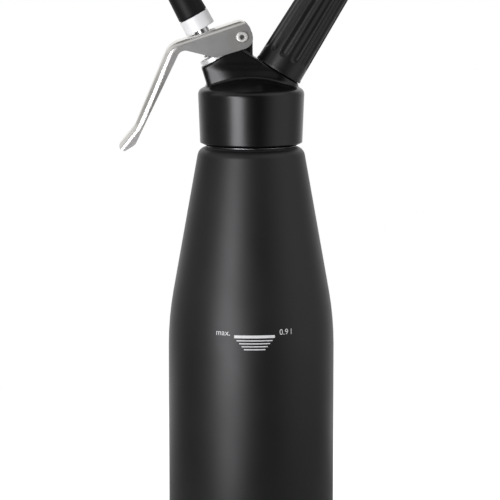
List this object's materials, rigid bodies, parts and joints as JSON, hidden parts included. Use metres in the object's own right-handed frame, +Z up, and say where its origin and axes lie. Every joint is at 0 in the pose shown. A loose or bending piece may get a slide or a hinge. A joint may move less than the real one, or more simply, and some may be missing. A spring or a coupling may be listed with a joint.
{
  "type": "cream dispenser",
  "caption": "Bottle with a screw-on cast head, a squeeze lever over a sprung valve stem, a decorating nozzle and a fluted holder that screws a gas charger onto a piercing pin.",
  "frame": {"origin": "on the bottle's axis in the plane that it stands on", "axes": "+Z up along the bottle, +X towards the charger holder, -X towards the lever and nozzle, -Y towards the printed front"},
  "size_m": [0.1456, 0.1, 0.3705],
  "materials": {
    "bottle_paint": "satin black paint over aluminium",
    "head_paint": "satin black paint over cast aluminium",
    "black_rubber": "matt",
    "bright_aluminium": "turned and polished",
    "steel_bright": "bright",
    "lever_steel": "pressed sheet, satin",
    "black_plastic": "moulded, satin",
    "brass": "turned",
    "charger_steel": "plated"
  },
  "bodies": {
    "bottle": {"bottle": "bottle_paint"},
    "gasket": {"head_gasket": "black_rubber"},
    "head": {"head": "head_paint", "lever_pivot_screw": "steel_bright", "lever_pivot_nut": "steel_bright", "lever_washers": "black_plastic", "stem_guide_nut": "bright_aluminium", "stem_o_ring": "black_rubber", "valve_spring": "steel_bright", "piercing_pin": "brass", "pin_seal": "black_rubber", "non_return_sleeve": "black_rubber"},
    "lever": {"lever": "lever_steel"},
    "valve": {"valve_stem": "steel_bright", "valve_seal": "black_rubber", "seal_washer": "steel_bright", "seal_nut": "steel_bright", "nozzle_adapter": "bright_aluminium"},
    "seal": {"nozzle_seal": "black_rubber"},
    "nozzle": {"nozzle": "black_plastic"},
    "charger": {"gas_charger": "charger_steel"},
    "holder": {"charger_holder": "black_plastic", "holder_insert": "bright_aluminium", "holder_cushion": "black_rubber"}
  },
  "joints": [
    {"name": "head_lift", "type": "slide", "parent": "bottle", "child": "gasket", "axis": [0, 0, 1], "range_m": [0, 0.009]},
    {"name": "head_turn", "type": "hinge", "parent": "gasket", "child": "head", "pos_m": [0, 0, 0.267], "axis": [0, 0, 1], "range_deg": [0, 1080]},
    {"name": "lever_squeeze", "type": "hinge", "parent": "head", "child": "lever", "pos_m": [-0.0059, 0, 0.3107], "axis": [0, -1, 0], "range_deg": [0, 9], "stiffness_Nm_per_rad": 0.72, "springref_deg": -18.11},
    {"name": "valve_slide", "type": "slide", "parent": "head", "child": "valve", "axis": [0.4818, 0, -0.8763], "range_m": [0, 0.003], "deforming": ["valve_spring"]},
    {"name": "nozzle_lift", "type": "slide", "parent": "valve", "child": "seal", "axis": [-0.4818, 0, 0.8763], "range_m": [0, 0.0061]},
    {"name": "nozzle_turn", "type": "hinge", "parent": "seal", "child": "nozzle", "pos_m": [-0.03457, 0, 0.32281], "axis": [-0.4818, 0, 0.8763], "range_deg": [0, 1440]},
    {"name": "charger_lift", "type": "slide", "parent": "head", "child": "charger", "axis": [0.5225, 0, 0.8526], "range_m": [0, 0.0111]},
    {"name": "holder_turn", "type": "hinge", "parent": "charger", "child": "holder", "pos_m": [0.0162, 0, 0.2899], "axis": [0.5225, 0, 0.8526], "range_deg": [0, 1980]}
  ],
  "couplings": [
    {"joint": "head_lift", "follows": "head_turn", "m_per_rad": 0.00047746},
    {"joint": "valve_slide", "follows": "lever_squeeze", "m_per_rad": 0.019},
    {"joint": "nozzle_lift", "follows": "nozzle_turn", "m_per_rad": 0.00023873},
    {"joint": "charger_lift", "follows": "holder_turn", "m_per_rad": 0.00031831}
  ]
}
